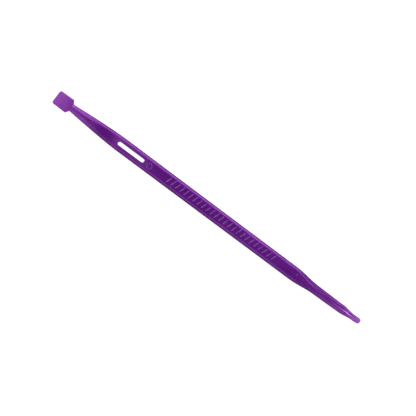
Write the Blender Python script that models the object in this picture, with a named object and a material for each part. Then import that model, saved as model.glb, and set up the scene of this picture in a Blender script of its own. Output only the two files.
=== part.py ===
"""A moulded plastic point tool for sewing, modelled in Blender 4.5.

The tool is one translucent purple moulding: a thin square head, a neck that widens into a long
flat bar with bevelled edges, a round-ended eye for ribbon, a row of raised grip ribs, and a slim
ridged tip that curves up to a rounded tongue. It is modelled as six stretches that meet end to
end, each in its own object, so that the eye stays open and every stretch is a simple solid.

X runs from the head to the tip, Z is up, and the bar's flat underside lies on Z = 0. The origin
is under the middle of the length. The script's own numbers are in millimetres. A place along the
tool is a station: its distance from the head's end.
"""

import math

import bmesh
import bpy

MM = 0.001

# Stations along the tool
LENGTH = 154.0
HEAD_LENGTH = 7.0  # from the end to the start of the shoulders
NECK_START = 7.85  # the shoulders end here
RIDGE_END = 13.0  # up to here the neck's top is a narrow ridge
PANEL_START = 27.0  # from here the flat panel has its full width
BAR_START = 33.0
TIP_START = 120.4  # the bar starts to narrow
SHANK_START = 131.8
SHANK_END = 144.9
TONGUE_START = 150.0

# Widths across the tool
HEAD_END_WIDTH = 6.2
HEAD_WIDTH = 6.5  # with the end's width, a quarter inch (6.35 mm) on average, as a seam gauge
HEAD_CORNER = 0.85
NECK_WIDTH = 3.25
BAR_WIDTH = 6.32
BAR_END_WIDTH = 6.0
SHANK_WIDTH = 4.1
SHANK_END_WIDTH = 3.74
TONGUE_WIDTH = 2.54
TONGUE_END_WIDTH = 2.48
TONGUE_CORNER = 1.05
HEAD_BEVEL = 0.5
BAR_BEVEL = 1.24
NECK_RIDGE = 0.8  # width of the flat along the neck's ridge
SHANK_RIDGE = 0.55
TONGUE_PANEL = 1.3

# Thicknesses: the whole section, and the upright edge band between its bevels
HEAD_END_THICK = 0.9
HEAD_THICK = 1.3
NECK_THICK = 1.6
BAR_THICK = 2.8
SHANK_THICK = 2.5
SHANK_END_THICK = 2.2
TONGUE_THICK = 1.1
TONGUE_END_THICK = 0.9
HEAD_BAND = 0.5
NECK_BAND = 0.8
BAR_BAND = 1.3
SHANK_BAND = 0.9
TONGUE_BAND = 0.5
BAND_DRAFT = 0.05  # the band leans in this far from the parting line to each bevel

# The tip curves up, and its tongue is thinned from above
CURVE_START = 130.0
TIP_RISE = 4.0
TONGUE_DROP = 0.8

# The eye
EYE_START = 31.5
EYE_END = 44.7
EYE_WIDTH = 1.75
EYE_WALL = 1.0  # material left at each end of the eye in its own stretch

# Raised marks on the bar
RIB_FIRST = 57.4
RIB_LAST = 110.2
RIB_COUNT = 25
RIB_LENGTH = 2.9
RIB_FOOT_WIDTH = 0.6
RIB_TOP_WIDTH = 0.35
RIB_LEAN = math.radians(20)
RING_STATION = 47.5
RING_ACROSS = -0.4  # from the middle, so towards -Y
RING_RADIUS = 1.3
RING_LINE = 0.35
RELIEF = 0.22  # height above the panel
ROOT = 0.4  # depth of a raised mark inside the bar

GAP = 0.3  # left between neighbouring stretches

# Linear colours of the plastic, lighter where it is thin
DEEP_PURPLE = (0.090, 0.010, 0.180, 1.0)
THIN_PURPLE = (0.230, 0.060, 0.350, 1.0)


def mix(start, end, share):
    """The value a share of the way from start to end, held at both ends."""
    return start + (end - start) * min(max(share, 0.0), 1.0)


def ease(start, end, share):
    """Like mix, but leaving start and reaching end smoothly."""
    share = min(max(share, 0.0), 1.0)
    return mix(start, end, share * share * (3 - 2 * share))


def share_of(station, start, end):
    return (station - start) / (end - start)


def round_off(distance, radius):
    """How far a corner's arc lies inside the straight side, at a distance from the end."""
    if distance >= radius:
        return 0.0
    return radius - math.sqrt(radius**2 - (radius - distance) ** 2)


def half_width(station):
    if station <= HEAD_LENGTH:
        width = mix(HEAD_END_WIDTH, HEAD_WIDTH, station / HEAD_LENGTH)
        return width / 2 - round_off(station, HEAD_CORNER)
    if station <= NECK_START:
        return mix(HEAD_WIDTH, NECK_WIDTH, share_of(station, HEAD_LENGTH, NECK_START)) / 2
    if station <= BAR_START:
        left = 1 - share_of(station, NECK_START, BAR_START)
        return mix(NECK_WIDTH, BAR_WIDTH, 1 - left**1.5) / 2
    if station <= TIP_START:
        return mix(BAR_WIDTH, BAR_END_WIDTH, share_of(station, BAR_START, TIP_START)) / 2
    if station <= SHANK_START:
        return ease(BAR_END_WIDTH, SHANK_WIDTH, share_of(station, TIP_START, SHANK_START)) / 2
    if station <= SHANK_END:
        return mix(SHANK_WIDTH, SHANK_END_WIDTH, share_of(station, SHANK_START, SHANK_END)) / 2
    if station <= TONGUE_START:
        return ease(SHANK_END_WIDTH, TONGUE_WIDTH, share_of(station, SHANK_END, TONGUE_START)) / 2
    width = mix(TONGUE_WIDTH, TONGUE_END_WIDTH, share_of(station, TONGUE_START, LENGTH))
    return width / 2 - round_off(LENGTH - station, TONGUE_CORNER)


def panel_half_width(station):
    """Half the width of the flat on top, which the bevels run down from."""
    if station <= HEAD_LENGTH:
        return half_width(station) - HEAD_BEVEL
    if station <= NECK_START:
        share = share_of(station, HEAD_LENGTH, NECK_START)
        return mix(HEAD_WIDTH / 2 - HEAD_BEVEL, NECK_RIDGE / 2, share)
    if station <= PANEL_START:
        full = half_width(PANEL_START) - BAR_BEVEL
        return ease(NECK_RIDGE / 2, full, share_of(station, RIDGE_END, PANEL_START))
    if station <= TIP_START:
        return half_width(station) - BAR_BEVEL
    if station <= SHANK_END:
        full = half_width(TIP_START) - BAR_BEVEL
        return ease(full, SHANK_RIDGE / 2, share_of(station, TIP_START, SHANK_START))
    ridge = ease(SHANK_RIDGE, TONGUE_PANEL, share_of(station, SHANK_END, TONGUE_START)) / 2
    return min(ridge, 0.6 * half_width(station))


def thickness(station):
    if station <= HEAD_LENGTH:
        return mix(HEAD_END_THICK, HEAD_THICK, station / HEAD_LENGTH)
    if station <= NECK_START:
        return mix(HEAD_THICK, NECK_THICK, share_of(station, HEAD_LENGTH, NECK_START))
    if station <= PANEL_START:
        return ease(NECK_THICK, BAR_THICK, share_of(station, NECK_START, PANEL_START))
    if station <= SHANK_START:
        return ease(BAR_THICK, SHANK_THICK, share_of(station, TIP_START, SHANK_START))
    if station <= SHANK_END:
        return mix(SHANK_THICK, SHANK_END_THICK, share_of(station, SHANK_START, SHANK_END))
    if station <= TONGUE_START:
        return ease(SHANK_END_THICK, TONGUE_THICK, share_of(station, SHANK_END, TONGUE_START))
    return mix(TONGUE_THICK, TONGUE_END_THICK, share_of(station, TONGUE_START, LENGTH))


def band_height(station):
    """Height of the upright band between the upper and the lower bevel."""
    if station <= NECK_START:
        return ease(HEAD_BAND, NECK_BAND, share_of(station, HEAD_LENGTH, NECK_START))
    if station <= TIP_START:
        return ease(NECK_BAND, BAR_BAND, share_of(station, NECK_START, PANEL_START))
    if station <= SHANK_END:
        return ease(BAR_BAND, SHANK_BAND, share_of(station, TIP_START, SHANK_START))
    return ease(SHANK_BAND, TONGUE_BAND, share_of(station, SHANK_END, TONGUE_START))


def middle_height(station):
    """Height of the parting line, which lifts along the tip."""
    lift = TIP_RISE * max(share_of(station, CURVE_START, LENGTH), 0.0) ** 3
    drop = ease(0.0, TONGUE_DROP, share_of(station, SHANK_END, TONGUE_START))
    return BAR_THICK / 2 + lift - drop


def section(station):
    """The ten corners of the cross-section, counterclockwise seen from the tip."""
    half = half_width(station)
    panel = panel_half_width(station)
    middle = middle_height(station)
    top = thickness(station) / 2
    band = band_height(station) / 2
    shoulder = half - BAND_DRAFT
    right = [(panel, -top), (shoulder, -band), (half, 0.0), (shoulder, band), (panel, top)]
    left = [(-y, z) for y, z in reversed(right)]
    x = (station - LENGTH / 2) * MM
    return [(x, y * MM, (middle + z) * MM) for y, z in right + left]


def plastic(name, colour):
    material = bpy.data.materials.new(name + "_plastic")
    material.use_nodes = True
    shader = material.node_tree.nodes["Principled BSDF"]
    shader.inputs["Base Color"].default_value = colour
    shader.inputs["Metallic"].default_value = 0.0
    shader.inputs["Roughness"].default_value = 0.25
    material.diffuse_color = colour
    return material


def add_object(name, mesh_builder, colour=None):
    """Links a bmesh as an object. Without a colour it is a guide, which isn't part of the tool."""
    mesh = bpy.data.meshes.new(name)
    mesh_builder.to_mesh(mesh)
    mesh_builder.free()
    thing = bpy.data.objects.new(name, mesh)
    bpy.context.scene.collection.objects.link(thing)
    if colour:
        mesh.materials.append(plastic(name, colour))
        mesh.shade_smooth()
        mesh.set_sharp_from_angle(angle=math.radians(20))
    else:
        thing.hide_render = True
        thing.display_type = "WIRE"
    return thing


def add_stretch(name, stations, colour):
    """One stretch of the tool, lofted through its cross-sections and closed at both ends."""
    builder = bmesh.new()
    rings = [[builder.verts.new(corner) for corner in section(s)] for s in stations]
    for ring, following in zip(rings, rings[1:]):
        for i in range(len(ring)):
            j = (i + 1) % len(ring)
            builder.faces.new((ring[i], following[i], following[j], ring[j]))
    builder.faces.new(rings[0])
    builder.faces.new(rings[-1])
    bmesh.ops.recalc_face_normals(builder, faces=builder.faces)
    return add_object(name, builder, colour)


def steps(start, end, count):
    return [start + (end - start) * i / count for i in range(count + 1)]


def arc_steps(radius, count):
    """Distances from a rounded end that divide its corner arc evenly."""
    return [radius * (1 - math.cos(math.pi / 2 * i / count)) for i in range(count + 1)]


def capsule(length, width, half_steps=8):
    """A round-ended outline about the origin, its length along X, counterclockwise."""
    radius = width / 2
    reach = length / 2 - radius
    outline = []
    for side in (1, -1):
        for i in range(half_steps + 1):
            angle = math.pi * i / half_steps - math.pi / 2
            outline.append((side * (reach + radius * math.cos(angle)), side * radius * math.sin(angle)))
    return outline


def add_prism(builder, low_outline, high_outline, low, high):
    """A closed solid from an outline at height low to one at height high."""
    bottom = [builder.verts.new((x * MM, y * MM, low * MM)) for x, y in low_outline]
    top = [builder.verts.new((x * MM, y * MM, high * MM)) for x, y in high_outline]
    for i in range(len(bottom)):
        j = (i + 1) % len(bottom)
        builder.faces.new((bottom[i], bottom[j], top[j], top[i]))
    builder.faces.new(reversed(bottom))
    builder.faces.new(top)


def add_ring(builder, station, across, outer, inner, low, high, count=24):
    """A flat ring about a vertical axis at a place on the tool, closed all round."""
    loops = []
    for radius, height in ((outer, low), (outer, high), (inner, high), (inner, low)):
        loop = []
        for i in range(count):
            angle = 2 * math.pi * i / count
            x = station - LENGTH / 2 + radius * math.cos(angle)
            y = across + radius * math.sin(angle)
            loop.append(builder.verts.new((x * MM, y * MM, height * MM)))
        loops.append(loop)
    for loop, following in zip(loops, loops[1:] + loops[:1]):
        for i in range(count):
            j = (i + 1) % count
            builder.faces.new((loop[i], loop[j], following[j], following[i]))


def placed(outline, station, turn):
    """An outline turned about its middle and moved to a station."""
    cos, sin = math.cos(turn), math.sin(turn)
    shift = station - LENGTH / 2
    return [(shift + x * cos - y * sin, x * sin + y * cos) for x, y in outline]


def raised_marks():
    """The ring and the row of leaning ribs, rooted in the bar's panel, as one guide object."""
    low = BAR_THICK - ROOT
    high = BAR_THICK + RELIEF
    builder = bmesh.new()
    add_ring(builder, RING_STATION, RING_ACROSS, RING_RADIUS, RING_RADIUS - RING_LINE, low, high)
    foot = capsule(RIB_LENGTH, RIB_FOOT_WIDTH, 6)
    crest = capsule(RIB_LENGTH - RIB_FOOT_WIDTH + RIB_TOP_WIDTH, RIB_TOP_WIDTH, 6)
    turn = math.pi / 2 - RIB_LEAN
    for station in steps(RIB_FIRST, RIB_LAST, RIB_COUNT - 1):
        add_prism(builder, placed(foot, station, turn), placed(crest, station, turn), low, high)
    bmesh.ops.recalc_face_normals(builder, faces=builder.faces)
    return add_object("raised_marks", builder)


def eye_cutter():
    outline = placed(capsule(EYE_END - EYE_START, EYE_WIDTH, 12), (EYE_START + EYE_END) / 2, 0.0)
    builder = bmesh.new()
    add_prism(builder, outline, outline, -1.0, BAR_THICK + 1.0)
    bmesh.ops.recalc_face_normals(builder, faces=builder.faces)
    return add_object("eye_cutter", builder)


def add_boolean(thing, operation, operand):
    modifier = thing.modifiers.new(operation.lower(), "BOOLEAN")
    modifier.operation = operation
    modifier.object = operand
    modifier.solver = "EXACT"


def build_tool():
    half_gap = GAP / 2
    eye_frame_start = EYE_START - EYE_WALL
    eye_frame_end = EYE_END + EYE_WALL

    head_stations = arc_steps(HEAD_CORNER, 6) + [HEAD_LENGTH, NECK_START - half_gap]
    add_stretch("square_head", head_stations, THIN_PURPLE)

    add_stretch("neck", steps(NECK_START + half_gap, eye_frame_start - half_gap, 12), DEEP_PURPLE)

    eye_stations = steps(eye_frame_start + half_gap, eye_frame_end - half_gap, 4)
    eye_frame = add_stretch("eye_frame", eye_stations, DEEP_PURPLE)
    add_boolean(eye_frame, "DIFFERENCE", eye_cutter())

    bar = add_stretch("bar", steps(eye_frame_end + half_gap, TIP_START - half_gap, 6), DEEP_PURPLE)
    add_boolean(bar, "UNION", raised_marks())

    shank_stations = steps(TIP_START + half_gap, SHANK_START, 8)
    shank_stations += steps(SHANK_START, SHANK_END, 6)[1:]
    shank_stations += steps(SHANK_END, TONGUE_START - half_gap, 6)[1:]
    add_stretch("tip_shank", shank_stations, DEEP_PURPLE)

    end_stations = [LENGTH - distance for distance in reversed(arc_steps(TONGUE_CORNER, 6))]
    add_stretch("tip_tongue", [TONGUE_START + half_gap] + end_stations, THIN_PURPLE)


for old in list(bpy.data.objects):
    bpy.data.objects.remove(old)
build_tool()
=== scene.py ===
"""The looks of a moulded plastic sewing point tool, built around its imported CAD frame.

The tool is one translucent purple moulding, so one continuous mesh stands for all its CAD stretches.
Sizes inside the script are in millimetres, and a place along the tool is a station: its distance
from the head's end. X runs from the head to the tip and Z is up.
"""

import math
from functools import lru_cache

import bpy
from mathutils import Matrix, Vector


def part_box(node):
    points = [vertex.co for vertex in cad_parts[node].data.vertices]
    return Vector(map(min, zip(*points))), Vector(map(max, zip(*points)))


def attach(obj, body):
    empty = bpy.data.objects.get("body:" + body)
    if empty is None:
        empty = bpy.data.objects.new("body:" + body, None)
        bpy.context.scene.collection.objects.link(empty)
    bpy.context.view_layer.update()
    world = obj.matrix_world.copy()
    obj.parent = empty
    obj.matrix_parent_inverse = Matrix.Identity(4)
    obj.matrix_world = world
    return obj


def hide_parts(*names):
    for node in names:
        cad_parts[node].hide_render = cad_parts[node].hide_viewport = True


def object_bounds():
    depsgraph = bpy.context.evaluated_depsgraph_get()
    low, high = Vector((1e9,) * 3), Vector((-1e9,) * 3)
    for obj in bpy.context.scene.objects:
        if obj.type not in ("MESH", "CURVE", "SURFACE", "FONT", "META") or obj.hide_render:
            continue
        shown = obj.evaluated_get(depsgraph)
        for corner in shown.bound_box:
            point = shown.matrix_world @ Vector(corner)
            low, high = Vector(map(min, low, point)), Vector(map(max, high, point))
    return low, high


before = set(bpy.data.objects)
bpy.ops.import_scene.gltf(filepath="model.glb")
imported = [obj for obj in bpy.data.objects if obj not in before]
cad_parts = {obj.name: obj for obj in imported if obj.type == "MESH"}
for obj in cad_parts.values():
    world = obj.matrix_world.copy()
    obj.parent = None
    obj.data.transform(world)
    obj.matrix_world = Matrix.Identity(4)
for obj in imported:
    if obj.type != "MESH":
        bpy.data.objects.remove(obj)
cad_low, cad_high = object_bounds()

MM = 0.001


def station_of(node, end):
    """The station of a CAD node's first (0) or last (1) point."""
    return (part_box(node)[end].x - cad_low.x) / MM


def seam(node, following):
    """The station where two neighbouring CAD stretches meet."""
    return (station_of(node, 1) + station_of(following, 0)) / 2


def width_of(node):
    """The width of a CAD node, across the tool."""
    low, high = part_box(node)
    return (high.y - low.y) / MM


# Stations along the tool, and lengths of its tapers
SHOULDER_LENGTH = 0.85
TIP_TAPER = 11.4
TONGUE_TAPER = 5.1
LENGTH = (cad_high.x - cad_low.x) / MM
NECK_START = seam("square_head", "neck")
TIP_START = seam("bar", "tip_shank")
TONGUE_START = seam("tip_shank", "tip_tongue")
HEAD_LENGTH = NECK_START - SHOULDER_LENGTH
RIDGE_END = 13.0
PANEL_START = 27.0
BAR_START = 33.0
SHANK_START = TIP_START + TIP_TAPER
SHANK_END = TONGUE_START - TONGUE_TAPER
CURVE_START = 130.0

# Widths across the tool
HEAD_WIDTH = width_of("square_head")
HEAD_END_WIDTH = HEAD_WIDTH - 0.3
HEAD_CORNER = 0.85
SHOULDER_CORNER = 0.35
NECK_WIDTH = 3.25
BAR_WIDTH = width_of("eye_frame")
BAR_END_WIDTH = width_of("tip_shank")
SHANK_WIDTH = 4.1
SHANK_END_WIDTH = 3.74
TONGUE_WIDTH = width_of("tip_tongue")
TONGUE_END_WIDTH = TONGUE_WIDTH - 0.06
TONGUE_CORNER = 1.05
HEAD_BEVEL = 0.5
BAR_BEVEL = 1.24
NECK_RIDGE = 0.8
SHANK_RIDGE = 0.55
TONGUE_PANEL = 1.3
LEAST_PANEL = 0.1
MOST_PANEL_SHARE = 0.6  # of the tongue's width

# How far kinks along the tool are rounded, how much of each end isn't, and the steps on each side
OUTLINE_SOFTNESS = 0.25
FIRM_END = 2.0
SOFTENING_STEPS = 4

# Thicknesses of the section and of the upright band between its bevels
eye_low, eye_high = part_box("eye_frame")
BAR_THICK = (eye_high.z - eye_low.z) / MM
HEAD_END_THICK = 0.9
HEAD_THICK = 1.3
NECK_THICK = 1.6
SHANK_THICK = 2.5
SHANK_END_THICK = 2.2
TONGUE_THICK = 1.1
TONGUE_END_THICK = 0.9
HEAD_BAND = 0.5
NECK_BAND = 0.8
BAR_BAND = 1.3
SHANK_BAND = 0.9
TONGUE_BAND = 0.5
MOST_BAND_SHARE = 0.6  # of the thickness
BAND_DRAFT = 0.05
TIP_RISE = 4.0
TONGUE_DROP = 0.8
PANEL_EDGE_ROUNDING = 0.15
BAND_EDGE_ROUNDING = 0.15
MOST_ROUNDED_SHARE = 0.45  # of an edge, at either end of it
END_ROUNDING = 0.3

# The eye, and the plastic of its CAD node beyond its two ends
EYE_MARGIN = 0.85
EYE_START = station_of("eye_frame", 0) + EYE_MARGIN
EYE_END = station_of("eye_frame", 1) - EYE_MARGIN
EYE_WIDTH = 1.75
EYE_LIP = 0.15

# Raised marks: slanted ribs, a ring and a pip. A mark's crest is its flat top
RIB_FIRST = 57.4
RIB_LAST = 110.2
RIB_COUNT = 25
RIB_LENGTH = 2.9
RIB_WIDTH = 0.55
RIB_CREST = 0.15
RIB_LEAN = math.radians(20)
RING_STATION = 47.5
RING_ACROSS = -0.4
RING_RADIUS = 1.3
RING_LINE = 0.35
RING_CREST = 0.14
RING_FLARE = 0.08
PIP_STATION = 122.0
PIP_ACROSS = 0.05
PIP_RADIUS = 0.38
RELIEF = 0.22
PIP_HEIGHT = 0.15
MARK_REACH = 2.0  # no mark reaches further than this from its middle, along the tool

# Stretches of the mesh, each with its start, its end and the spacing of its stations
SHOULDER_ROOM = 0.6
LIP_ROOM = 0.4
RING_ROOM = 1.5
RIB_ROOM = 1.1
PIP_ROOM = 0.5
STRETCHES = (
    (HEAD_CORNER, HEAD_LENGTH - SHOULDER_ROOM, 0.5),
    (HEAD_LENGTH - SHOULDER_ROOM, NECK_START + SHOULDER_ROOM, 0.12),
    (NECK_START + SHOULDER_ROOM, EYE_START - LIP_ROOM, 0.4),
    (EYE_START - LIP_ROOM, EYE_START, 0.05),
    (EYE_START + EYE_WIDTH / 2, EYE_END - EYE_WIDTH / 2, 0.5),
    (EYE_END, EYE_END + LIP_ROOM, 0.05),
    (EYE_END + LIP_ROOM, RING_STATION - RING_ROOM, 0.3),
    (RING_STATION - RING_ROOM, RING_STATION + RING_ROOM, 0.08),
    (RING_STATION + RING_ROOM, RIB_FIRST - RIB_ROOM, 0.6),
    (RIB_FIRST - RIB_ROOM, RIB_LAST + RIB_ROOM, 0.11),
    (RIB_LAST + RIB_ROOM, PIP_STATION - PIP_ROOM, 0.6),
    (PIP_STATION - PIP_ROOM, PIP_STATION + PIP_ROOM, 0.08),
    (PIP_STATION + PIP_ROOM, LENGTH - TONGUE_CORNER, 0.35),
)
ARC_STEPS = 12
END_STEPS = 5
LEAST_SPACING = 0.004

# Columns of the mesh across half the section, which stand closer together beside the eye
TOP_COLUMNS = 16
BEVEL_COLUMNS = 9
BOTTOM_COLUMNS = 6
CORNER_STEPS = 3
WALL_STEPS = 3
BUNCHING = 0.8
BUNCHING_REACH = 2.0
SHADING_WEIGHT = 60  # how far the larger faces lead the shading

# Depth of plastic that light gets through freely, and how fast the colour deepens beyond it
THIN_DEPTH = 0.9
FADE_DEPTH = 0.72
# Painted light on the bevels, which look lighter than the panel as if they faced the light, along the tool
BEVEL_PAINTED_LIGHT = (
    (0.0, 0.45), (10.0, 0.35), (13.0, 0.5), (25.0, 0.5), (TIP_START, 0.5), (TIP_START + 5, 0.15),
    (SHANK_START - 2, 0.12), (136.0, 0.2), (143.0, 0.5), (TONGUE_START, 0.2),
)
BEVEL_PAINTED_LIGHT_EASE = 0.7  # below 1, the bevel's painted light comes in soon after the panel's edge
# Shares of a bevel's painted light by the distance from the outline, low at the rim for a painted dark rim
PAINTED_LIGHT_FROM_RIM = ((0.0, 0.0), (0.2, 0.05), (0.65, 1.15), (0.85, 1.15), (1.35, 0.4))
# How fully those shares count, from 0 to 1, along the tool: the strength of the painted dark rim
PAINTED_RIM_SHADE = ((18.0, 0.2), (26.0, 1.0), (TIP_START, 1.0), (SHANK_START, 0.4), (TONGUE_START, 0.1))
# Shares of a bevel's painted light that the bevel towards -Y has, along the tool, as light falls unevenly
# on the two sides
NEAR_SIDE_PAINTED_LIGHT = (
    (12.0, 1.0), (17.0, 0.8), (24.0, 0.55), (33.0, 0.85), (TIP_START, 0.85), (SHANK_START + 3, 2.0),
    (139.0, 1.2), (TONGUE_START, 1.0),
)
# Painted light and shade on the panel along the head and the neck, lighter or darker than its thickness
# makes it
PANEL_PAINTED_LIGHT = ((7.0, -0.03), (11.0, 0.0), (14.5, -0.06), (18.8, 0.08), (23.0, 0.0))
# Painted light beside the eye, where the plastic looks lighter, which reaches further on the head's side of
# it
EYE_PAINTED_LIGHT = 0.25
EYE_PAINTED_LIGHT_REACH = 1.2
HEAD_SIDE_PAINTED_LIGHT = 0.38
HEAD_SIDE_REACH = 2.4
HEAD_SIDE_END = EYE_START - 1
EYE_PAINTED_LIGHT_START = EYE_START + 2

# The painted highlight along the tip's crest, and the painted shade of grooves on both sides of it
CREST_START = 128.0
CREST_FULL = 148.6
CREST_END = 153.0
CREST_START_WIDTH = 0.4
CREST_FULL_WIDTH = 0.52
CREST_FLAT_SHARE = 0.25  # of its width
CREST_GROWTH = 4.5  # above 1, the painted highlight grows mostly near where the crest stands out most
CREST_ACROSS = -0.08
GROOVE_ACROSS = 0.52
GROOVE_WIDTH = 0.9
GROOVE_PAINTED_SHADE = 1.5
NEAR_GROOVE_PAINTED_SHADE = 0.55  # towards -Y

# The thin painted highlight along the bevel towards +Y
LINE_PAINTED_HIGHLIGHT = (
    (14.0, 0.04), (22.0, 0.02), (34.0, 0.01), (50.0, 0.05), (80.0, 0.07), (106.0, 0.07), (114.0, 0.0),
)
LINE_FROM_RIM = 0.85
LINE_WIDTH = 0.8

# Painted highlights on the raised marks' tops and painted light through the thin tongue: how much paler
# they are than the plastic around them
RIB_PAINTED_HIGHLIGHT = 0.2  # and the pip's
RING_PAINTED_HIGHLIGHT = 0.11
TONGUE_PAINTED_LIGHT = 0.11


def mix(start, end, share):
    """A value on the straight way from start to end, and never beyond them."""
    return start + (end - start) * min(max(share, 0.0), 1.0)


def ease(start, end, share):
    """Like mix, but it leaves the start and reaches the end smoothly."""
    share = min(max(share, 0.0), 1.0)
    return mix(start, end, share * share * (3 - 2 * share))


def share_of(station, start, end):
    """How far a station is on the way from start to end: 0 at start and 1 at end."""
    return (station - start) / (end - start)


def between(stops, station):
    """The value at a station from a row of (station, value) stops."""
    value = stops[0][1]
    for (start, before), (end, after) in zip(stops, stops[1:]):
        if station > start:
            value = ease(before, after, share_of(station, start, end))
    return value


def round_off(distance, radius):
    """How far a corner's arc lies inside the straight side, at a distance from the end."""
    if distance >= radius:
        return 0.0
    return radius - math.sqrt(max(radius**2 - (radius - distance) ** 2, 0.0))


def plain_half_width(station):
    """Half the width of the outline, with its kinks."""
    if station <= HEAD_LENGTH:
        width = mix(HEAD_END_WIDTH, HEAD_WIDTH, station / HEAD_LENGTH)
        corners = round_off(station, HEAD_CORNER) + round_off(HEAD_LENGTH - station, SHOULDER_CORNER)
        return width / 2 - corners
    if station <= NECK_START:
        shoulder = HEAD_WIDTH - 2 * SHOULDER_CORNER
        return mix(shoulder, NECK_WIDTH, share_of(station, HEAD_LENGTH, NECK_START)) / 2
    if station <= BAR_START:
        left = 1 - share_of(station, NECK_START, BAR_START)
        return mix(NECK_WIDTH, BAR_WIDTH, 1 - left**1.5) / 2
    if station <= TIP_START:
        return mix(BAR_WIDTH, BAR_END_WIDTH, share_of(station, BAR_START, TIP_START)) / 2
    if station <= SHANK_START:
        return ease(BAR_END_WIDTH, SHANK_WIDTH, share_of(station, TIP_START, SHANK_START)) / 2
    if station <= SHANK_END:
        return mix(SHANK_WIDTH, SHANK_END_WIDTH, share_of(station, SHANK_START, SHANK_END)) / 2
    if station <= TONGUE_START:
        return ease(SHANK_END_WIDTH, TONGUE_WIDTH, share_of(station, SHANK_END, TONGUE_START)) / 2
    width = mix(TONGUE_WIDTH, TONGUE_END_WIDTH, share_of(station, TONGUE_START, LENGTH))
    return width / 2 - round_off(LENGTH - station, TONGUE_CORNER)


def softened(function, station):
    """A function of the station with its kinks rounded, except near the tool's two ends."""
    reach = min(OUTLINE_SOFTNESS, max(station - FIRM_END, 0.0), max(LENGTH - FIRM_END - station, 0.0))
    samples = range(-SOFTENING_STEPS, SOFTENING_STEPS + 1)
    return sum(function(station + reach * k / SOFTENING_STEPS) for k in samples) / len(samples)


@lru_cache(maxsize=None)
def half_width(station):
    return softened(plain_half_width, station)


def plain_panel_half_width(station):
    """Half the width of the flat on top, which the bevels run down from."""
    if station <= HEAD_LENGTH:
        return plain_half_width(station) - HEAD_BEVEL
    if station <= NECK_START:
        shoulder = HEAD_WIDTH / 2 - SHOULDER_CORNER - HEAD_BEVEL
        return mix(shoulder, NECK_RIDGE / 2, share_of(station, HEAD_LENGTH, NECK_START))
    if station <= PANEL_START:
        full = plain_half_width(PANEL_START) - BAR_BEVEL
        return ease(NECK_RIDGE / 2, full, share_of(station, RIDGE_END, PANEL_START))
    if station <= TIP_START:
        return plain_half_width(station) - BAR_BEVEL
    if station <= SHANK_END:
        full = plain_half_width(TIP_START) - BAR_BEVEL
        return ease(full, SHANK_RIDGE / 2, share_of(station, TIP_START, SHANK_START))
    ridge = ease(SHANK_RIDGE, TONGUE_PANEL, share_of(station, SHANK_END, TONGUE_START)) / 2
    return min(ridge, MOST_PANEL_SHARE * plain_half_width(station))


def panel_half_width(station):
    return softened(plain_panel_half_width, station)


def plain_thickness(station):
    """Thickness along the middle, with its kinks."""
    if station <= HEAD_LENGTH:
        return mix(HEAD_END_THICK, HEAD_THICK, station / HEAD_LENGTH)
    if station <= NECK_START:
        return mix(HEAD_THICK, NECK_THICK, share_of(station, HEAD_LENGTH, NECK_START))
    if station <= PANEL_START:
        return ease(NECK_THICK, BAR_THICK, share_of(station, NECK_START, PANEL_START))
    if station <= SHANK_START:
        return ease(BAR_THICK, SHANK_THICK, share_of(station, TIP_START, SHANK_START))
    if station <= SHANK_END:
        return mix(SHANK_THICK, SHANK_END_THICK, share_of(station, SHANK_START, SHANK_END))
    if station <= TONGUE_START:
        return ease(SHANK_END_THICK, TONGUE_THICK, share_of(station, SHANK_END, TONGUE_START))
    return mix(TONGUE_THICK, TONGUE_END_THICK, share_of(station, TONGUE_START, LENGTH))


@lru_cache(maxsize=None)
def thickness(station):
    """Thickness along the middle, rounded down towards the tool's two ends."""
    nearest_end = min(station, LENGTH - station)
    return softened(plain_thickness, station) - 2 * round_off(nearest_end, END_ROUNDING)


def band_height(station):
    """Height of the upright band between the upper and the lower bevel."""
    if station <= NECK_START:
        height = ease(HEAD_BAND, NECK_BAND, share_of(station, HEAD_LENGTH, NECK_START))
    elif station <= TIP_START:
        height = ease(NECK_BAND, BAR_BAND, share_of(station, NECK_START, PANEL_START))
    elif station <= SHANK_END:
        height = ease(BAR_BAND, SHANK_BAND, share_of(station, TIP_START, SHANK_START))
    else:
        height = ease(SHANK_BAND, TONGUE_BAND, share_of(station, SHANK_END, TONGUE_START))
    return min(height, MOST_BAND_SHARE * thickness(station))


def middle_height(station):
    """Height of the parting line, which lifts along the tip."""
    lift = TIP_RISE * max(share_of(station, CURVE_START, LENGTH), 0.0) ** 3
    drop = ease(0.0, TONGUE_DROP, share_of(station, SHANK_END, TONGUE_START))
    return BAR_THICK / 2 + lift - drop


def eye_half_width(station):
    """Half the eye's width at a station, and 0 outside it."""
    radius = EYE_WIDTH / 2
    distance = min(station - EYE_START, EYE_END - station)
    if distance <= 0:
        return 0.0
    return radius - round_off(distance, radius)


def from_eye(station, across):
    """Distance from the eye's wall, in the plane of the tool."""
    radius = EYE_WIDTH / 2
    along = max(EYE_START + radius - station, station - EYE_END + radius, 0.0)
    return max(math.hypot(along, across) - radius, 0.0)


def crest(distance, half, flat):
    """1 within a flat top of a given half width, and from there down to 0 at the foot's half width."""
    return ease(1.0, 0.0, share_of(distance, flat, half))


RIBS = [mix(RIB_FIRST, RIB_LAST, i / (RIB_COUNT - 1)) for i in range(RIB_COUNT)]
RIB_ALONG = (math.sin(RIB_LEAN), math.cos(RIB_LEAN))
RIB_REACH = (RIB_LENGTH - RIB_WIDTH) / 2


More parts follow.
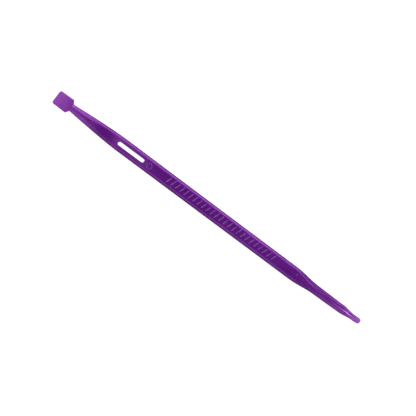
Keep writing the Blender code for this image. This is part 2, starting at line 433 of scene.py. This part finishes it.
def relief(station, across):
    """Share of the full relief that a raised mark has at a point of the panel."""
    if RIB_FIRST - MARK_REACH < station < RIB_LAST + MARK_REACH:
        pitch = RIBS[1] - RIBS[0]
        lean_station = station - across * math.tan(RIB_LEAN)
        nearest = min(max(round((lean_station - RIB_FIRST) / pitch), 0), RIB_COUNT - 1)
        along, side = station - RIBS[nearest], across
        reach = along * RIB_ALONG[0] + side * RIB_ALONG[1]
        reach = min(max(reach, -RIB_REACH), RIB_REACH)
        distance = math.hypot(along - reach * RIB_ALONG[0], side - reach * RIB_ALONG[1])
        return crest(distance, RIB_WIDTH / 2, RIB_CREST / 2)
    if abs(station - RING_STATION) < MARK_REACH:
        middle = RING_RADIUS - RING_LINE / 2
        distance = abs(math.hypot(station - RING_STATION, across - RING_ACROSS) - middle)
        return crest(distance, RING_LINE / 2 + RING_FLARE, RING_CREST / 2)
    if abs(station - PIP_STATION) < MARK_REACH:
        distance = math.hypot(station - PIP_STATION, across - PIP_ACROSS)
        return crest(distance, PIP_RADIUS, 0.0) * PIP_HEIGHT / RELIEF
    return 0.0


def along_crest(station):
    """From 0 where the tip's crest starts to 1 where it stands out most, and back to 0."""
    growing = share_of(station, CREST_START, CREST_FULL)
    fading = share_of(station, CREST_END, CREST_FULL)
    return mix(0.0, 1.0, min(growing, fading))


def painted_tip_light(station, across):
    """Painted light on the tip: a painted highlight along its crest, and painted light through the whole
    thin tongue.
    """
    along = along_crest(station)
    width = mix(CREST_START_WIDTH, CREST_FULL_WIDTH, share_of(station, CREST_START, CREST_FULL))
    tongue = ease(0.0, TONGUE_PAINTED_LIGHT, share_of(station, CREST_FULL, TONGUE_START))
    # A painted highlight along the crest
    stripe = crest(abs(across - CREST_ACROSS), width / 2, CREST_FLAT_SHARE * width / 2)
    return max(along**CREST_GROWTH * stripe, tongue)


def painted_bevel_line(station, across, bevel):
    """Painted highlight of the thin line along the bevel towards +Y."""
    if across < 0:
        return 0.0
    from_line = abs(half_width(station) - across - LINE_FROM_RIM)
    return bevel * between(LINE_PAINTED_HIGHLIGHT, station) * crest(from_line, LINE_WIDTH / 2, 0.0)


def painted_light_and_shade_at(station, across, bevel):
    """Painted light and shade: from 0 where the plastic looks deepest to 1 where light comes through it.

    It paints light through thin plastic, painted light on the bevels and beside the eye, painted light
    and shade along the head and the neck, a painted dark rim and painted shade beside the tip's crest.
    bevel is 0 on the panel and 1 on the sloping sides, which take the bevels' painted light."""
    # Painted light through the thin plastic, fading as the plastic gets thicker
    clear = math.exp(-max(thickness(station) - THIN_DEPTH, 0.0) / FADE_DEPTH)
    # A painted dark rim: the bevels' painted light falls off near the outline
    from_rim = between(PAINTED_LIGHT_FROM_RIM, half_width(station) - abs(across))
    painted_bevel_light = between(BEVEL_PAINTED_LIGHT, station) * mix(1.0, from_rim, between(PAINTED_RIM_SHADE, station))
    painted_groove_shade = GROOVE_PAINTED_SHADE
    # The bevel towards -Y takes its own share of painted light, and lighter painted shade beside the crest
    if across < 0:
        painted_bevel_light *= between(NEAR_SIDE_PAINTED_LIGHT, station)
        painted_groove_shade = NEAR_GROOVE_PAINTED_SHADE
    # Painted light on the bevels
    clear += bevel**BEVEL_PAINTED_LIGHT_EASE * painted_bevel_light
    # Painted light and shade on the panel along the head and the neck
    clear += (1 - bevel) * between(PANEL_PAINTED_LIGHT, station)
    # Painted shade of the grooves beside the tip's crest, which the mesh doesn't model
    from_groove = abs(abs(across) - GROOVE_ACROSS)
    in_groove = along_crest(station) * crest(from_groove, GROOVE_WIDTH / 2, 0.0)
    clear *= max(1 - painted_groove_shade * in_groove, 0.0)
    # Painted light beside the eye
    past_head_side = share_of(station, HEAD_SIDE_END, EYE_PAINTED_LIGHT_START)
    eye_painted_light = mix(HEAD_SIDE_PAINTED_LIGHT, EYE_PAINTED_LIGHT, past_head_side)
    reach = mix(HEAD_SIDE_REACH, EYE_PAINTED_LIGHT_REACH, past_head_side)
    return clear + eye_painted_light * math.exp(-from_eye(station, across) / reach)


def rounded_corner(before, corner, after, size):
    """Points along a corner rounded by a parabola that starts and ends a given size from it."""
    before, corner, after = Vector(before), Vector(corner), Vector(after)
    into, out = corner - before, after - corner
    start = corner - into.normalized() * min(size, MOST_ROUNDED_SHARE * into.length)
    end = corner + out.normalized() * min(size, MOST_ROUNDED_SHARE * out.length)
    points = []
    for i in range(CORNER_STEPS + 1):
        share = i / CORNER_STEPS
        points.append(tuple(start * (1 - share) ** 2 + corner * 2 * share * (1 - share) + end * share**2))
    return points


def upper_edge(station):
    """The section from the end of the panel down to the parting line.

    Each point is (across, height, share of bevel)."""
    half = half_width(station)
    top = thickness(station) / 2
    band = band_height(station) / 2
    inner = eye_half_width(station)
    panel = max(panel_half_width(station), LEAST_PANEL / 2)
    corners = [(inner, top), (panel, top), (half - BAND_DRAFT, band), (half, 0.0)]
    first = rounded_corner(*corners[:3], PANEL_EDGE_ROUNDING)
    second = rounded_corner(*corners[1:], BAND_EDGE_ROUNDING)
    start, end = Vector(first[-1]), Vector(second[0])
    between_them = [tuple(start.lerp(end, i / BEVEL_COLUMNS)) for i in range(1, BEVEL_COLUMNS)]
    turn = [i / CORNER_STEPS for i in range(CORNER_STEPS + 1)]
    shares = turn + [1.0] * len(between_them) + turn[::-1]
    points = [(*place, share) for place, share in zip(first + between_them + second, shares)]
    return points + [(half, 0.0, 0.0)]


def panel_points(station, start, end, columns):
    """Places across a panel, closer together at the eye so that its lip is round."""
    near_eye = min(abs(station - EYE_START), abs(station - EYE_END))
    inside = EYE_START < station < EYE_END
    nearness = 1.0 if inside else max(1 - near_eye / BUNCHING_REACH, 0.0)
    power = 1 + BUNCHING * nearness
    return [mix(start, end, (i / columns) ** power) for i in range(columns)]


def half_section(station, side):
    """Half the cross-section, from the middle of the top round to the middle of the underside.

    side is 1 towards +Y and -1 towards -Y. Each point is (across, height, share of bevel,
    painted highlight), with across counted outwards on both sides."""
    edge = upper_edge(station)
    inner = eye_half_width(station)
    top = thickness(station) / 2
    # Painted highlights on the tops of the raised marks
    mark_highlight = RIB_PAINTED_HIGHLIGHT if station > RIB_FIRST - MARK_REACH else RING_PAINTED_HIGHLIGHT
    points = []

    def lip(across):
        return round_off(from_eye(station, across), EYE_LIP)

    for across in panel_points(station, inner, edge[0][0], TOP_COLUMNS):
        raised = relief(station, side * across)
        # Painted highlights on the raised marks and the tip's crest
        painted_highlight = raised * mark_highlight + painted_tip_light(station, side * across)
        points.append((across, top - lip(across) + RELIEF * raised, 0.0, painted_highlight))
    for across, height, bevel in edge:
        # Painted highlights on the tip's crest and along the bevel towards +Y
        painted_highlight = painted_tip_light(station, side * across) + painted_bevel_line(station, side * across, bevel)
        points.append((across, height, bevel, painted_highlight))
    points += [(across, -height, bevel, 0.0) for across, height, bevel in reversed(edge[:-1])]
    for across in reversed(panel_points(station, inner, edge[0][0], BOTTOM_COLUMNS)):
        points.append((across, -top + lip(across), 0.0, 0.0))
    return points


def spread(start, end, spacing):
    """Stations from start to end, a given spacing apart or nearly so."""
    count = max(round((end - start) / spacing), 1)
    return [start + (end - start) * i / count for i in range(count + 1)]


def arc_steps(radius, count):
    """Distances from an end that step evenly round a corner's arc."""
    return [radius * (1 - math.cos(math.pi / 2 * i / count)) for i in range(count + 1)]


def all_stations():
    """Every station of the mesh, dense where the shape turns or carries a mark."""
    eye_arc = arc_steps(EYE_WIDTH / 2, ARC_STEPS)
    stations = arc_steps(END_ROUNDING, END_STEPS) + arc_steps(HEAD_CORNER, ARC_STEPS)
    stations += [EYE_START + step for step in eye_arc] + [EYE_END - step for step in eye_arc]
    stations += [LENGTH - step for step in arc_steps(TONGUE_CORNER, ARC_STEPS)]
    stations += [LENGTH - step for step in arc_steps(END_ROUNDING, END_STEPS)]
    for start, end, spacing in STRETCHES:
        stations += spread(start, end, spacing)
    stations.sort()
    kept = stations[:1]
    for station in stations[1:]:
        if station - kept[-1] > LEAST_SPACING:
            kept.append(station)
    kept[-1] = LENGTH
    return kept


class Grid:
    """Vertices and faces of the moulding, with the two values that its material reads: painted light and
    shade, and painted highlights.
    """

    def __init__(self):
        self.vertices = []
        self.faces = []
        self.clear = []
        self.painted_highlight = []

    def add(self, station, across, height, bevel, painted_highlight):
        """Adds a vertex, with its height counted from the parting line, and returns its number."""
        lifted = middle_height(station) + height
        self.vertices.append((cad_low.x + station * MM, across * MM, lifted * MM))
        # The painted light and shade at this vertex, for the material
        self.clear.append(painted_light_and_shade_at(station, across, bevel))
        self.painted_highlight.append(painted_highlight)
        return len(self.vertices) - 1

    def quad(self, a, b, c, d):
        """Adds a face, without the corners that fall together."""
        corners = [v for v, previous in zip((a, b, c, d), (d, a, b, c)) if v != previous]
        if len(set(corners)) >= 3:
            self.faces.append(corners)


def add_half(grid, stations, sections, side, shared):
    """One side of the moulding. shared holds the middle vertices that both sides use."""
    rows = []
    for i, (station, section) in enumerate(zip(stations, sections)):
        row = []
        for j, (across, height, bevel, painted_highlight) in enumerate(section):
            on_middle = across == 0.0 and j in (0, len(section) - 1)
            if on_middle and (i, j) in shared:
                row.append(shared[i, j])
                continue
            row.append(grid.add(station, side * across, height, bevel, painted_highlight))
            if on_middle:
                shared[i, j] = row[-1]
        rows.append(row)
    for row, following in zip(rows, rows[1:]):
        for j in range(len(row) - 1):
            corners = (row[j], following[j], following[j + 1], row[j + 1])
            grid.quad(*(corners if side > 0 else reversed(corners)))
    return rows


def add_eye_wall(grid, stations, sections, rows, side, shared):
    """The upright wall of the eye on one side, between the two lips."""
    walls = {}
    for i, (station, section) in enumerate(zip(stations, sections)):
        if not EYE_START - LEAST_SPACING < station < EYE_END + LEAST_SPACING:
            continue
        across, top, bevel, _ = section[0]
        bottom = section[-1][1]
        wall = [rows[i][-1]]
        for k in range(1, WALL_STEPS):
            key = (i, "wall", k)
            if across == 0.0 and key in shared:
                wall.append(shared[key])
                continue
            height = mix(bottom, top, k / WALL_STEPS)
            wall.append(grid.add(station, side * across, height, bevel, 0.0))
            if across == 0.0:
                shared[key] = wall[-1]
        wall.append(rows[i][0])
        walls[i] = wall
    for i in sorted(walls)[:-1]:
        wall, following = walls[i], walls[i + 1]
        for k in range(len(wall) - 1):
            corners = (wall[k], following[k], following[k + 1], wall[k + 1])
            grid.quad(*(corners if side > 0 else reversed(corners)))


def add_end(grid, right, left, outward):
    """The flat end face between the two sides' last rows."""
    for j in range(len(right) - 1):
        corners = (right[j], right[j + 1], left[j + 1], left[j])
        grid.quad(*(corners if outward > 0 else reversed(corners)))


def build_moulding():
    """The whole tool as one closed mesh, its two sides built in turn."""
    stations = all_stations()
    grid = Grid()
    shared = {}
    sides = {}
    for side in (1, -1):
        sections = [half_section(station, side) for station in stations]
        sides[side] = add_half(grid, stations, sections, side, shared)
        add_eye_wall(grid, stations, sections, sides[side], side, shared)
    add_end(grid, sides[1][0], sides[-1][0], 1)
    add_end(grid, sides[1][-1], sides[-1][-1], -1)

    mesh = bpy.data.meshes.new("moulding")
    mesh.from_pydata(grid.vertices, [], grid.faces)
    # Painted light and shade, and painted highlights, stored on the vertices for the material
    clear = mesh.attributes.new("clear", "FLOAT", "POINT")
    clear.data.foreach_set("value", grid.clear)
    # The painted highlights
    painted_highlight = mesh.attributes.new("painted_highlight", "FLOAT", "POINT")
    painted_highlight.data.foreach_set("value", grid.painted_highlight)
    mesh.update()
    mesh.shade_smooth()
    moulding = bpy.data.objects.new("moulding", mesh)
    bpy.context.scene.collection.objects.link(moulding)
    normals = moulding.modifiers.new("even_shading", "WEIGHTED_NORMAL")
    normals.weight = SHADING_WEIGHT
    return moulding


# Linear colours of the plastic: deep, lit for painted light, pale for painted highlights; and of its sheen
DEEP_PURPLE = (0.070, 0.0012, 0.138, 1.0)
LIT_PURPLE = (0.285, 0.068, 0.415, 1.0)
HIGHLIGHT_PURPLE = (0.740, 0.390, 1.0, 1.0)
SHEEN_TINT = (0.62, 0.25, 1.0, 1.0)

# Noise in the plastic: clouds and streaks, stretched along the tool, and a fine grain on its surface
CLOUDS = {"scale": 260, "detail": 3, "stretch": (0.35, 1.0, 1.0)}
STREAKS = {"scale": 900, "detail": 2, "stretch": (0.06, 1.0, 1.0)}
GRAIN = {"scale": 9000, "detail": 3, "stretch": (1.0, 1.0, 1.0)}
NOISE_MIDDLE = 0.5

# How much the clouds and the streaks clear or deepen the colour
CLOUDING = 0.14
STREAKING = 0.09

# Roughness of the plastic, and how much the clouds and the full painted highlight add to it
SMOOTHEST = 0.16
CLOUD_ROUGHNESS = 0.12
HIGHLIGHT_ROUGHNESS = 0.15


def purple_plastic():
    """Glossy moulded plastic, deep purple where thick and pinker in its painted light and highlights."""
    material = bpy.data.materials.new("purple_plastic")
    material.use_nodes = True
    nodes = material.node_tree.nodes
    links = material.node_tree.links
    shader = nodes["Principled BSDF"]

    place = nodes.new("ShaderNodeTexCoord")

    def noise(scale, detail, stretch):
        mapping = nodes.new("ShaderNodeMapping")
        mapping.inputs["Scale"].default_value = stretch
        texture = nodes.new("ShaderNodeTexNoise")
        texture.inputs["Scale"].default_value = scale
        texture.inputs["Detail"].default_value = detail
        links.new(place.outputs["Object"], mapping.inputs["Vector"])
        links.new(mapping.outputs["Vector"], texture.inputs["Vector"])
        return texture.outputs["Fac"]

    def attribute(name):
        node = nodes.new("ShaderNodeAttribute")
        node.attribute_name = name
        return node.outputs["Fac"]

    def math_node(operation, first, second):
        node = nodes.new("ShaderNodeMath")
        node.operation = operation
        for socket, value in zip(node.inputs, (first, second)):
            if isinstance(value, (int, float)):
                socket.default_value = value
            else:
                links.new(value, socket)
        return node.outputs["Value"]

    def colour_mix(factor, first, second):
        node = nodes.new("ShaderNodeMix")
        node.data_type = "RGBA"
        # Several sockets share each name, so the ones for a factor and two colours go by number
        for socket, value in zip((node.inputs[0], node.inputs[6], node.inputs[7]), (factor, first, second)):
            if isinstance(value, tuple):
                socket.default_value = value
            else:
                links.new(value, socket)
        return node.outputs[2]

    clouds = noise(**CLOUDS)
    streaks = noise(**STREAKS)
    grain = noise(**GRAIN)

    cloud = math_node("MULTIPLY", math_node("SUBTRACT", clouds, NOISE_MIDDLE), CLOUDING)
    streak = math_node("MULTIPLY", math_node("SUBTRACT", streaks, NOISE_MIDDLE), STREAKING)
    # The painted light and shade, with the plastic's own clouds and streaks added
    clear = math_node("ADD", attribute("clear"), math_node("ADD", cloud, streak))
    # Painted light and shade: the deep colour mixed towards its lit copy
    body = colour_mix(clear, DEEP_PURPLE, LIT_PURPLE)
    # Painted highlights: the colour mixed towards its pale copy
    painted_highlight = attribute("painted_highlight")
    links.new(colour_mix(painted_highlight, body, HIGHLIGHT_PURPLE), shader.inputs["Base Color"])

    roughness = math_node("ADD", math_node("MULTIPLY", clouds, CLOUD_ROUGHNESS), SMOOTHEST)
    highlight_roughness = math_node("MULTIPLY", painted_highlight, HIGHLIGHT_ROUGHNESS)
    links.new(math_node("ADD", roughness, highlight_roughness), shader.inputs["Roughness"])
    shader.inputs["IOR"].default_value = 1.49
    shader.inputs["Specular IOR Level"].default_value = 0.4
    shader.inputs["Specular Tint"].default_value = SHEEN_TINT
    shader.inputs["Subsurface Weight"].default_value = 0.35
    shader.inputs["Subsurface Radius"].default_value = (1.0, 0.35, 1.1)
    shader.inputs["Subsurface Scale"].default_value = 0.0005

    bump = nodes.new("ShaderNodeBump")
    bump.inputs["Strength"].default_value = 0.12
    bump.inputs["Distance"].default_value = 0.00002
    links.new(grain, bump.inputs["Height"])
    links.new(bump.outputs["Normal"], shader.inputs["Normal"])
    return material


# The view: nearly overhead, from the -Y side, with the tool running down to the right at a slope.
# The tool's share is its length over the frame's width, and its middle is off the frame's middle by
# small shares of that width
TOOL_SLOPE = math.radians(36.74)
VIEW_ELEVATION = math.radians(84)
LENS = 400.0
TOOL_SHARE_OF_FRAME = 0.9116
MIDDLE_RIGHT = -0.0010
MIDDLE_DOWN = 0.00305


def add_camera():
    """A long lens that sees the tool at its slope, with almost no perspective."""
    data = bpy.data.cameras.new("camera")
    data.lens = LENS
    frame_width = LENGTH * MM / TOOL_SHARE_OF_FRAME
    distance = frame_width * LENS / data.sensor_width
    azimuth = math.atan(math.tan(TOOL_SLOPE) / math.sin(VIEW_ELEVATION))
    level, rise = math.cos(VIEW_ELEVATION), math.sin(VIEW_ELEVATION)
    back = Vector((math.sin(azimuth) * level, -math.cos(azimuth) * level, rise))
    turn = (-back).to_track_quat("-Z", "Y")
    right, up = turn @ Vector((1, 0, 0)), turn @ Vector((0, 1, 0))
    middle = Vector((0, 0, BAR_THICK * MM / 2))
    aim = middle + frame_width * (MIDDLE_DOWN * up - MIDDLE_RIGHT * right)
    camera = bpy.data.objects.new("camera", data)
    camera.location = aim + back * distance
    camera.rotation_mode = "QUATERNION"
    camera.rotation_quaternion = turn
    data.clip_start = 0.01
    data.clip_end = 20.0
    bpy.context.scene.collection.objects.link(camera)
    bpy.context.scene.camera = camera


# The floor, with its sizes in metres
FLOOR_SIZE = 12.0
FLOOR_CLEARANCE = 0.00005
FLOOR_GLOW = 1.0
FLOOR_COLOUR = (0.2, 0.2, 0.2, 1.0)


def add_floor():
    """A plain light table, which glows white itself, so that shadows on it stay faint."""
    half = FLOOR_SIZE / 2
    corners = [(x * half, y * half, -FLOOR_CLEARANCE) for x, y in ((-1, -1), (1, -1), (1, 1), (-1, 1))]
    mesh = bpy.data.meshes.new("floor")
    mesh.from_pydata(corners, [], [(0, 1, 2, 3)])
    material = bpy.data.materials.new("floor")
    material.use_nodes = True
    shader = material.node_tree.nodes["Principled BSDF"]
    shader.inputs["Base Color"].default_value = FLOOR_COLOUR
    shader.inputs["Roughness"].default_value = 0.9
    shader.inputs["Specular IOR Level"].default_value = 0.0
    shader.inputs["Emission Color"].default_value = (1.0, 1.0, 1.0, 1.0)
    shader.inputs["Emission Strength"].default_value = FLOOR_GLOW
    mesh.materials.append(material)
    floor = bpy.data.objects.new("floor", mesh)
    bpy.context.scene.collection.objects.link(floor)
    floor.visible_glossy = False  # the tool's gloss shows the studio around it instead


# Azimuth, elevation, strength and size of each sun. Angles are in degrees, and azimuth 0 is the +X
# side and 90 the +Y side
SUNS = {"key": (71, 55, 2.9, 30), "fill": (300, 55, 0.12, 30), "top": (12, 78, 0.42, 7)}


def add_sun(name, azimuth, elevation, strength, size):
    """A soft distant light."""
    data = bpy.data.lights.new(name, "SUN")
    data.energy = strength
    data.angle = math.radians(size)
    azimuth, elevation = math.radians(azimuth), math.radians(elevation)
    level, rise = math.cos(elevation), math.sin(elevation)
    towards = Vector((math.cos(azimuth) * level, math.sin(azimuth) * level, rise))
    sun = bpy.data.objects.new(name, data)
    sun.rotation_mode = "QUATERNION"
    sun.rotation_quaternion = towards.to_track_quat("Z", "Y")
    bpy.context.scene.collection.objects.link(sun)


# Light of the studio by the sine of the angle above the floor, from below it to nearly overhead
STUDIO_LIGHT = (
    (-0.10, 0.3), (-0.03, 1.1), (0.03, 1.1), (0.10, 0.35), (0.50, 0.30), (0.93, 0.20), (0.985, 0.03),
)


def add_world():
    """A light tent with bright walls and a dark opening right overhead."""
    world = bpy.data.worlds.new("studio")
    world.use_nodes = True
    nodes = world.node_tree.nodes
    links = world.node_tree.links
    background = nodes["Background"]
    place = nodes.new("ShaderNodeTexCoord")
    split = nodes.new("ShaderNodeSeparateXYZ")
    ramp = nodes.new("ShaderNodeValToRGB")
    ramp.color_ramp.interpolation = "EASE"
    stops = ramp.color_ramp.elements
    while len(stops) < len(STUDIO_LIGHT):
        stops.new(1.0)
    for stop, (rise, light) in zip(stops, STUDIO_LIGHT):
        stop.position = (rise + 1) / 2
        stop.color = (light, light, light, 1.0)
    links.new(place.outputs["Generated"], split.inputs["Vector"])
    # The sine runs from -1 to 1, and the ramp from 0 to 1
    rescale = nodes.new("ShaderNodeMath")
    rescale.operation = "MULTIPLY_ADD"
    rescale.inputs[1].default_value = 0.5
    rescale.inputs[2].default_value = 0.5
    links.new(split.outputs["Z"], rescale.inputs[0])
    links.new(rescale.outputs["Value"], ramp.inputs["Fac"])
    links.new(ramp.outputs["Color"], background.inputs["Color"])
    bpy.context.scene.world = world


def add_studio():
    """Everything around the tool: the camera, the floor and the light."""
    add_camera()
    add_floor()
    add_world()
    for name, sun in SUNS.items():
        add_sun(name, *sun)
    bpy.context.scene.view_settings.view_transform = "Standard"


moulding = build_moulding()
moulding.data.materials.append(purple_plastic())
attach(moulding, "root")
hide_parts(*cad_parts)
add_studio()
